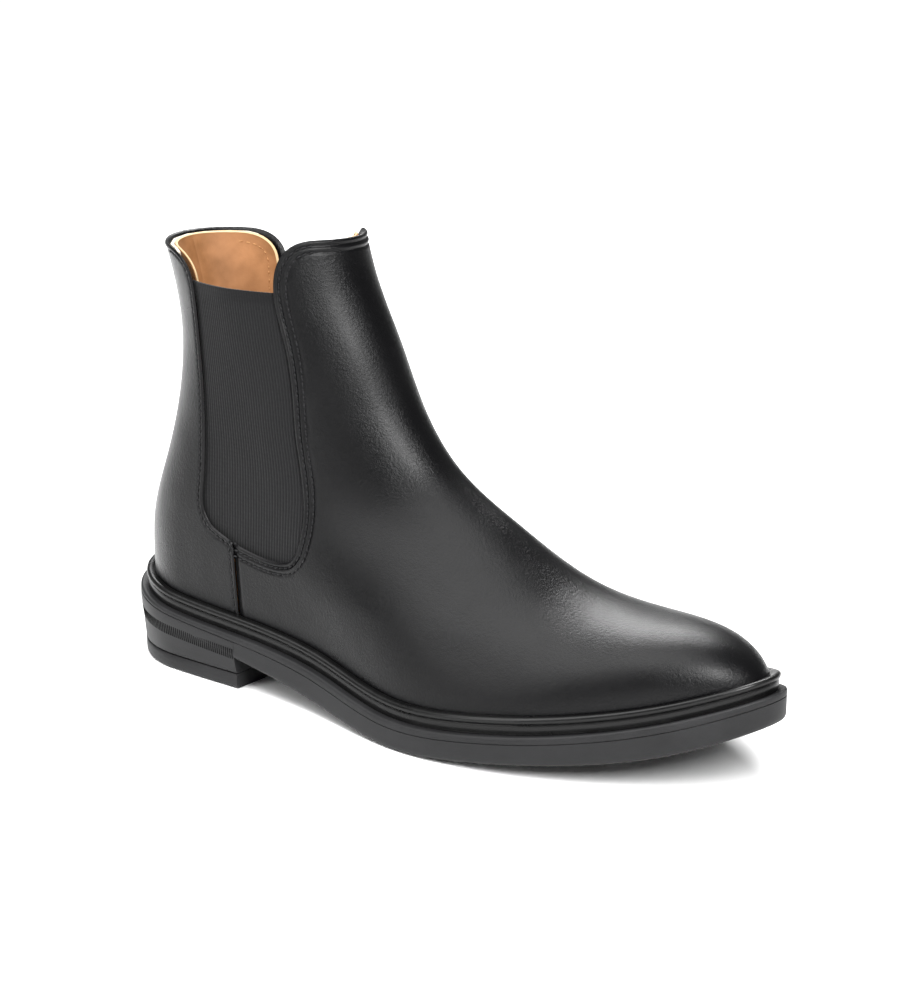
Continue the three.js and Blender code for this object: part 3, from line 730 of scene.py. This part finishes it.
def goreGrid():
    front, lower, rear = panelEdges()
    top, foot = boot["goreTop"] - 0.3, gore["foot"]
    heights = np.linspace(top, foot, gore["rows"])
    rearLine = smoothLine([(49.6, 170), (51, 144), (54.5, 116), (55.4, 100), (54.2, 82), (54, 72),
                           (53, 50)])
    frontEdge = smoothLine([(88.6, 170), (95, 143), (98.5, 127), (101, 108), (105.3, 88), (106.3, 71),
                            (106.5, 50)])
    rearS = np.interp(-heights, -rearLine[:, 1], rearLine[:, 0]) - gore["hidden"]
    frontS = np.interp(-heights, -frontEdge[:, 1], frontEdge[:, 0]) + gore["hidden"]
    ribs = int(round((frontS[0] - rearS[0]) / gore["ribPitch"])) + 4
    u = np.linspace(0, 1, ribs * gore["perRib"] + 1)
    s = mix(rearS[:, None], frontS[:, None], u[None, :])
    rib = np.abs(np.sin(math.pi * u * ribs)) ** 0.7
    rib = np.broadcast_to(rib[None, :], s.shape).copy()
    rib[heights > top - 4] *= 0.35  # the woven edge at the top is flatter
    return np.stack([s, np.broadcast_to(heights[:, None], s.shape)], -1), rib


for sideName, side in sides.items():
    grid, rib = goreGrid()
    elastic = shellMesh("gore_elastic_" + sideName, [(grid, rib)], (side,), boot["elasticDepth"],
                        "ribHeight", closed=False)
    pushOut(elastic, "ribHeight", lambda value: (value - 0.5) * gore["ribHeight"])
    thicken(elastic, boot["elastic"] - gore["ribHeight"], 0.15)
    hand(elastic, "elastic", "elastic", "gore_" + sideName)
print("stage: gores")


# Rings of the sole's outline, joined level by level and closed above and below by strips across
def soleMesh(name, levels, start=0.0, end=None, steps=150):
    end = boot["length"] if end is None else end
    rings = []
    for inset, height in levels:
        turn = (1 - np.cos(math.pi * np.linspace(0, 1, steps + 1))) / 2
        s = mix(max(start, inset), min(end, boot["length"] - inset), turn)
        left = place(toeLine(s) - soleHalf(s, -1, inset), s, height(s))
        right = place(toeLine(s) + soleHalf(s, 1, inset), s, height(s))
        rings.append(np.concatenate([left, right[::-1]]))
    size = len(rings[0])
    faces = []
    for r in range(len(rings) - 1):
        for j in range(size):
            k = (j + 1) % size
            faces.append((r * size + j, r * size + k, (r + 1) * size + k, (r + 1) * size + j))
    top = (len(rings) - 1) * size
    for j in range(size // 2 - 1):
        far = size - 1 - j
        faces.append((j, far, far - 1, j + 1))
        faces.append((top + j, top + j + 1, top + far - 1, top + far))
    mesh = bpy.data.meshes.new(name)
    mesh.from_pydata(np.concatenate(rings).tolist(), [], faces)
    work = bmesh.new()
    work.from_mesh(mesh)
    bmesh.ops.remove_doubles(work, verts=work.verts, dist=1e-5)
    bmesh.ops.dissolve_degenerate(work, edges=work.edges, dist=1e-6)
    bmesh.ops.recalc_face_normals(work, faces=work.faces)
    work.to_mesh(mesh)
    work.free()
    piece = bpy.data.objects.new(name, mesh)
    bpy.context.scene.collection.objects.link(piece)
    return piece


def level(inset, share, lift=0.0):  # a ring of the sole's rim, at this share of its height
    return inset, lambda s: mix(rimFoot(s), rimTop(s), share) + lift


outsole = soleMesh("outsole_rubber", [
    level(1.8, 0), level(0.9, 0, 0.25), level(0.35, 0, 0.8), level(0.05, 0, 1.7), level(0, 0.3),
    level(0, 0.62), level(0, 0.74, -0.12), level(0.35, 0.74, 0.03), level(0.35, 0.74, 0.2),
    level(0.02, 0.74, 0.36), level(0, 0.8), level(0, 1, -1.0), level(0.25, 1, -0.35), level(0.8, 1, 0),
    level(1.6, 1, 0.05), level(3.0, 1, -0.1)])
settle(outsole)
hand(outsole, "sole_rubber", "rubber", "outsole")


def above(inset, height):
    return inset, lambda s: rimTop(s) + height


welt = soleMesh("welt_bead", [
    above(3.4, 0.1), above(3.5, 0.8), above(3.3, 1.6), above(3.2, 3.2), above(3.45, 3.9), above(3.1, 4.3),
    above(2.75, 4.9), above(2.65, 5.5), above(2.8, 6.1), above(3.2, 6.6), above(3.8, 6.9), above(4.6, 7.0),
    above(5.6, 6.9), above(7.6, 6.6)])
settle(welt)
hand(welt, "welt_rubber", "welt", "welt")

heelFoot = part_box("heel_block")[0].z * 1000
heelEnd = boot["length"] / 2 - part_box("heel_block")[0].y * 1000
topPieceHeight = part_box("heel_top_piece")[1].z * 1000


def heelLevel(inset, share, lift=0.0):
    return inset, lambda s: mix(heelFoot + 0 * s, rimFoot(s), share) + lift


heel = soleMesh("heel_block_rubber", [
    heelLevel(2.4, 0), heelLevel(1.95, 0, 0.3), heelLevel(1.8, 0, 0.8), heelLevel(1.35, 0.35),
    heelLevel(0.85, 0.7), heelLevel(0.35, 1.0), level(-0.05, 0.3), level(-0.07, 0.7), level(0.4, 0.715)],
    end=heelEnd)
settle(heel)
hand(heel, "sole_rubber", "rubber", "heel_block")


def flat(inset, height):
    return inset, lambda s: height + 0 * s


topPiece = soleMesh("heel_wearing_layer", [
    flat(3.0, 0), flat(2.35, 0.3), flat(2.05, 1.0), flat(1.9, 2.5), flat(1.85, topPieceHeight - 0.5),
    flat(2.3, topPieceHeight - 0.1), flat(2.9, topPieceHeight)], end=heelEnd)
settle(topPiece)
hand(topPiece, "sole_rubber", "rubber", "heel_top_piece")
print("stage: sole unit")


strip = {"top": 106, "foot": 38.5, "half": 7, "flare": 6, "play": 0.3, "corner": 3, "reach": 32,
         "rows": 50, "columns": 31}


def backStripMesh():  # for each height and width, finds how far forward the leather lies
    rows, columns, corner = strip["rows"], strip["columns"], strip["corner"]
    height = np.linspace(strip["foot"], strip["top"], rows)[:, None]
    drop = strip["top"] - height
    edge = strip["half"] + strip["flare"] * drop / (strip["top"] - strip["foot"]) * np.ones((1, columns))
    rounded = strip["half"] - 2.5 + np.sqrt(np.maximum(0, corner**2 - (corner - drop) ** 2))
    edge = np.where(drop > corner, edge, np.minimum(edge, rounded))
    x = edge * np.linspace(-1, 1, columns)[None, :]
    z = height + 0 * x
    depth = -(strip["play"] + boot["leather"])
    near, far = backLine(z) + depth, backLine(z) + strip["reach"]
    for _ in range(40):
        s = (near + far) / 2
        half = np.where(x < 0, upperHalf(s, z, -1, depth), upperHalf(s, z, 1, depth))
        near, far = np.where(half < np.abs(x), s, near), np.where(half < np.abs(x), far, s)
    points = place(toeLine(far) + x, far, z).reshape(-1, 3)
    index = np.arange(rows * columns).reshape(rows, columns)
    quads = np.stack([index[:-1, 1:], index[:-1, :-1], index[1:, :-1], index[1:, 1:]], -1).reshape(-1, 4)
    mesh = bpy.data.meshes.new("back_strip_leather")
    mesh.from_pydata(points.tolist(), [], quads.tolist())
    layer = mesh.attributes.new("edgeDistance", "FLOAT", "POINT")
    layer.data.foreach_set("value", (edge - np.abs(x)).reshape(-1).astype(np.float32))
    piece = bpy.data.objects.new("back_strip_leather", mesh)
    bpy.context.scene.collection.objects.link(piece)
    return piece


backStrip = backStripMesh()
thicken(backStrip, boot["leather"], 0.3)
hand(backStrip, "upper_leather", "calf", "back_strip")
print("stage: back strip")


# One tree lays a small body again and again along a line: a stitch along a seam, or a dark strip of painted
# slot shadow along the heel's rim
def repeatTree(name, body, finishName):
    tree = bpy.data.node_groups.new(name, "GeometryNodeTree")
    face = tree.interface
    face.new_socket("Geometry", in_out="INPUT", socket_type="NodeSocketGeometry")
    for label, value in (("Spacing", 0.003), ("Length", 0.0024), ("Width", 0.0005), ("Height", 0.0005),
                         ("Tilt", 0.0), ("Wobble", 0.0)):
        face.new_socket(label, in_out="INPUT", socket_type="NodeSocketFloat").default_value = value
    face.new_socket("Geometry", in_out="OUTPUT", socket_type="NodeSocketGeometry")
    given = addNode(tree, "NodeGroupInput").outputs
    upward = addNode(tree, "GeometryNodeInputNamedAttribute", {"Name": "upward"}, data_type="FLOAT_VECTOR")
    curve = addNode(tree, "GeometryNodeMeshToCurve", {"Mesh": given["Geometry"]})
    points = addNode(tree, "GeometryNodeCurveToPoints", {
        "Curve": curve.outputs[0], "Length": given["Spacing"]}, mode="LENGTH")
    held = addNode(tree, "GeometryNodeStoreNamedAttribute", {
        "Geometry": points.outputs["Points"], "Name": "along", "Value": points.outputs["Tangent"]},
                   data_type="FLOAT_VECTOR")
    tangent = addNode(tree, "GeometryNodeInputNamedAttribute", {"Name": "along"}, data_type="FLOAT_VECTOR")
    lying = addNode(tree, "FunctionNodeAlignRotationToVector", {"Vector": tangent.outputs[0]}, axis="X")
    upright = addNode(tree, "FunctionNodeAlignRotationToVector", {
        "Rotation": lying.outputs[0], "Vector": upward.outputs[0]}, axis="Z", pivot_axis="X")
    chance = addNode(tree, "FunctionNodeRandomValue", {2: -1.0, 3: 1.0, "Seed": 7}, data_type="FLOAT")
    swing = addNode(tree, "ShaderNodeMath", {0: chance.outputs[1], 1: given["Wobble"], 2: given["Tilt"]},
                    operation="MULTIPLY_ADD")
    spin = addNode(tree, "FunctionNodeRotateRotation", {"Rotation": upright.outputs[0]},
                   rotation_space="LOCAL")
    turned = addNode(tree, "ShaderNodeCombineXYZ", {"Z": swing.outputs[0]})
    tree.links.new(turned.outputs[0], spin.inputs[1])
    size = addNode(tree, "ShaderNodeCombineXYZ", {"X": given["Length"], "Y": given["Width"],
                                                  "Z": given["Height"]})
    if body == "stitch":
        shape = addNode(tree, "GeometryNodeMeshUVSphere", {"Segments": 8, "Rings": 5, "Radius": 0.5})
    else:
        shape = addNode(tree, "GeometryNodeMeshCube", {"Size": (1, 1, 1)})
    laid = addNode(tree, "GeometryNodeInstanceOnPoints", {
        "Points": held.outputs[0], "Instance": shape.outputs[0], "Rotation": spin.outputs[0],
        "Scale": size.outputs[0]})
    real = addNode(tree, "GeometryNodeRealizeInstances", {"Geometry": laid.outputs[0]})
    dressed = addNode(tree, "GeometryNodeSetMaterial", {"Geometry": real.outputs[0],
                                                        "Material": finish[finishName]})
    leaving = addNode(tree, "NodeGroupOutput")
    tree.links.new(dressed.outputs[0], leaving.inputs[0])
    return tree


# Lines with an outward direction in each point; each line is (points, outward) in metres
def repeatAlong(name, tree, lines, sizes, slot, finishName, smooth=True):
    verts, edges, outward = [], [], []
    for points, direction in lines:
        first = len(verts)
        verts.extend(points.tolist())
        outward.extend(direction.tolist())
        edges.extend((first + i, first + i + 1) for i in range(len(points) - 1))
    mesh = bpy.data.meshes.new(name)
    mesh.from_pydata(verts, edges, [])
    layer = mesh.attributes.new("upward", "FLOAT_VECTOR", "POINT")
    layer.data.foreach_set("vector", np.array(outward, np.float32).reshape(-1))
    piece = bpy.data.objects.new(name, mesh)
    bpy.context.scene.collection.objects.link(piece)
    rows = piece.modifiers.new("repeat", "NODES")
    rows.node_group = tree
    for socket in tree.interface.items_tree:
        if socket.in_out == "INPUT" and socket.name in sizes:
            rows[socket.identifier] = sizes[socket.name]
    settle(piece)
    if not smooth:
        piece.data.polygons.foreach_set("use_smooth", [False] * len(piece.data.polygons))
    for left in ("upward", "along"):
        if left in piece.data.attributes:
            piece.data.attributes.remove(piece.data.attributes[left])
    hand(piece, slot, finishName)
    return piece


shaftCore = 62  # an upright through here lies inside the boot, so outward is away from it


def lineOnUpper(line, side, depth, lift, inwards=False):
    line = along(line, np.linspace(0, 1, max(12, int(lineLength(line) / 0.8))))
    near = offsetLine(line, 0.3)
    points, beside = onUpper(line, side, depth), onUpper(near, side, depth)
    across = beside - points
    normal = np.cross(np.gradient(points, axis=0), across)
    normal /= np.linalg.norm(normal, axis=1)[:, None] + 1e-12
    core = place(0 * line[:, 0], shaftCore + 0 * line[:, 0], line[:, 1])
    facing = np.sign(np.sum(normal * (points - core), axis=1))
    normal *= facing[:, None] * (-1 if inwards else 1)
    return points + normal * lift / 1000, normal


stitchSize = {"Spacing": 0.0027, "Length": 0.0024, "Width": 0.0008, "Height": 0.0008, "Tilt": 0.12,
              "Wobble": 0.04}
blackRow = repeatTree("stitchRow", "stitch", "blackThread")
tanRow = repeatTree("liningStitchRow", "stitch", "tanThread")
slotShadowRow = repeatTree("heelSlotShadowRow", "rib", "slot")

vampRows = [lineOnUpper(offsetLine(vampEdge[2:], row), side, 0, -0.05)
            for side in (-1, 1) for row in (stitch["edgeRow"], stitch["innerRow"])]
repeatAlong("vamp_stitches", blackRow, vampRows,
            stitchSize, None, "blackThread")

for sideName, side in sides.items():
    rows = [lineOnUpper(offsetLine(quarterEdge[2:], -stitch["edgeRow"]), side, 0, 0.0),
            lineOnUpper(offsetLine(quarterSeam, -stitch["seamRow"]), side, 0, 0.0)]
    repeatAlong("quarter_stitches_" + sideName, blackRow, rows,
                {**stitchSize, "Length": 0.0023, "Tilt": -0.12}, None, "blackThread")

inside = boot["liningDepth"] + boot["lining"]
frontRow = offsetLine(liningEdge[2:], stitch["liningRow"] - lining["inset"])
rearRow = offsetLine(rearLiningEdge[2:], lining["inset"] - stitch["liningRow"])
liningRows = [lineOnUpper(row, side, inside, 0.05, True) for side in (-1, 1)
              for row in (frontRow, rearRow)]
repeatAlong("lining_stitches", tanRow, liningRows,
            {**stitchSize, "Spacing": 0.0029, "Length": 0.0023, "Width": 0.0005, "Height": 0.0004,
             "Tilt": 0.1, "Wobble": 0.06}, None, "tanThread")
print("stage: stitches")

heelRib = {"pitch": 1.2, "tall": 4.4, "slot": 0.5, "proud": 0.05, "back": 19.4, "front": 15.2,
           "core": 45, "lean": 0.14}  # the dark strips of painted slot shadow between the ribs: mm, and heights at both heel ends


def heelRibLine():
    turn = (1 - np.cos(math.pi * np.linspace(0, 1, 240))) / 2
    s = mix(0.0, heelEnd - 0.8, turn)
    z = mix(heelRib["back"], heelRib["front"], s / heelEnd)
    inset = np.maximum(0, np.interp(z - rimFoot(s), [-6, 0, 2.5], [0.95, 0.35, -0.02]))
    left = np.stack([toeLine(s) - soleHalf(s, -1, inset), s, z], -1)
    right = np.stack([toeLine(s) + soleHalf(s, 1, inset), s, z], -1)
    ring = np.concatenate([left[::-1], right[1:]])
    points = place(ring[:, 0], ring[:, 1], ring[:, 2])
    step = np.gradient(points, axis=0)
    normal = np.cross(step, np.array([0, 0, 1.0]))
    normal /= np.linalg.norm(normal, axis=1)[:, None] + 1e-12
    heelCore = place(0 * ring[:, 0], heelRib["core"] + 0 * ring[:, 0], ring[:, 2])
    normal *= np.sign(np.sum(normal * (points - heelCore), axis=1))[:, None]
    normal[:, 2] -= heelRib["lean"]  # the heel narrows towards the ground
    return points, normal


# dark strips of painted shadow where the slots between the heel ribs would be
repeatAlong("heel_rib_slot_shadows", slotShadowRow, [heelRibLine()],
            {"Spacing": heelRib["pitch"] / 1000, "Length": heelRib["slot"] / 1000,
             "Width": heelRib["tall"] / 1000, "Height": heelRib["proud"] * 2 / 1000},
            "sole_rubber", "slot", smooth=False)
print("stage: heel ribs")


# Floor, light and camera
studio = {"floor": "#f4f4f4", "reach": 6.0}
plate = bpy.data.meshes.new("studioFloor")
reach = studio["reach"]
plate.from_pydata([(-reach, -reach, 0), (reach, -reach, 0), (reach, reach, 0), (-reach, reach, 0)], [],
                  [(0, 1, 2, 3)])
floor = bpy.data.objects.new("studio_floor", plate)
bpy.context.scene.collection.objects.link(floor)
floor.location.z = -0.0002
paper, _, paperShader, _ = newMaterial("paleStudioFloor")
paperShader.inputs["Base Color"].default_value = linear(studio["floor"])
paperShader.inputs["Roughness"].default_value = 0.8
plate.materials.append(paper)


def areaLight(name, at, towards, size, watts):
    lamp = bpy.data.lights.new(name, "AREA")
    lamp.shape = "RECTANGLE"
    lamp.size, lamp.size_y = size
    lamp.energy = watts
    light = bpy.data.objects.new(name, lamp)
    bpy.context.scene.collection.objects.link(light)
    light.location = at
    light.rotation_euler = (Vector(towards) - Vector(at)).to_track_quat("-Z", "Y").to_euler()


areaLight("softboxLeft", (-1.25, 0.5, 0.75), (0, 0, 0.08), (0.5, 1.0), 10)
areaLight("softboxBack", (0.85, 0.7, 1.1), (0, -0.05, 0.06), (0.8, 0.5), 26)
areaLight("softboxFront", (-0.6, -0.86, 0.9), (0, 0, 0.12), (0.35, 0.7), 27)
sky = bpy.data.lights.new("overheadPanel", "SUN")
sky.energy = 3.2
sky.angle = math.radians(50)
overhead = bpy.data.objects.new("overheadPanel", sky)
bpy.context.scene.collection.objects.link(overhead)
overhead.rotation_euler = (math.radians(-12), math.radians(-18), 0)

world = bpy.data.worlds.new("studioWorld")
bpy.context.scene.world = world
world.use_nodes = True
worldTree = world.node_tree
backdrop = worldTree.nodes["Background"]
backdrop.inputs["Color"].default_value = (1, 1, 1, 1)
seen = addNode(worldTree, "ShaderNodeLightPath").outputs["Is Camera Ray"]
worldTree.links.new(spread(worldTree, seen, 0, 1, 0.22, 1.15), backdrop.inputs["Strength"])

view = {"azimuth": -53.412, "elevation": 16.404, "distance": 1136.65, "aim": (0, -6.933, 86.071),
        "lens": 104.7, "roll": 0.3}


def makeCamera():
    azimuth, elevation = math.radians(view["azimuth"]), math.radians(view["elevation"])
    back = Vector((math.sin(azimuth) * math.cos(elevation), -math.cos(azimuth) * math.cos(elevation),
                   math.sin(elevation)))
    right = Vector((0, 0, 1)).cross(back).normalized()
    up = back.cross(right)
    roll = math.radians(view["roll"])
    right, up = right * math.cos(roll) + up * math.sin(roll), up * math.cos(roll) - right * math.sin(roll)
    aim = Vector(view["aim"]) + Vector((middle, 0, 0))
    lens = bpy.data.cameras.new("camera")
    lens.lens = view["lens"]
    lens.sensor_width = 36
    lens.clip_start = 0.01
    camera = bpy.data.objects.new("camera", lens)
    bpy.context.scene.collection.objects.link(camera)
    turn = Matrix((right, up, back)).transposed()
    camera.matrix_world = Matrix.Translation((aim + back * view["distance"]) / 1000) @ turn.to_4x4()
    bpy.context.scene.camera = camera


makeCamera()
bpy.context.scene.view_settings.view_transform = "Standard"
print("stage: studio ready")

for nodeName, finishName in {"toe_puff": "felt", "heel_counter": "board", "front_topline_tape": "felt",
                             "back_topline_tape": "felt", "insole_board": "board", "shank": "steel",
                             "bottom_filler": "cork", "heel_pad": "felt", "sock_liner": "lining"}.items():
    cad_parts[nodeName].data.materials.clear()
    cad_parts[nodeName].data.materials.append(finish[finishName])
for nodeName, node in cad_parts.items():
    if "nail" in nodeName or "rivet" in nodeName:
        node.data.materials.clear()
        node.data.materials.append(finish["steel"])

bpy.context.view_layer.update()
